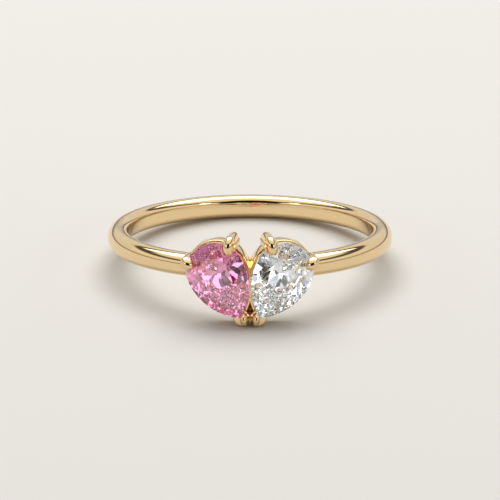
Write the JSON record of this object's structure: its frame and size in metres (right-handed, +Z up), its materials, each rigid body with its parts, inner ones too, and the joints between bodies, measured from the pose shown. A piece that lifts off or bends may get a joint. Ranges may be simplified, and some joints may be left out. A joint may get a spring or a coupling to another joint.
{
  "type": "toi et moi ring",
  "caption": "Slim domed finger ring with two pear cut stones, pink and white, held side by side in open claw baskets with their tips together.",
  "frame": {"origin": "centre of the ring's footprint on the surface that it lies on", "axes": "+Z up from the surface, -Y towards the stones, +X towards the white stone; the finger's axis leans 8.5 degrees from +Z towards +Y"},
  "size_m": [0.0202, 0.022, 0.0064],
  "materials": {
    "yellow_gold": "high polish 14 carat yellow gold",
    "pink_gem": "polished facets, clear pink",
    "white_gem": "polished facets, colourless"
  },
  "bodies": {
    "root": {"band_and_setting": "yellow_gold", "pink_stone": "pink_gem", "white_stone": "white_gem"}
  },
  "joints": []
}
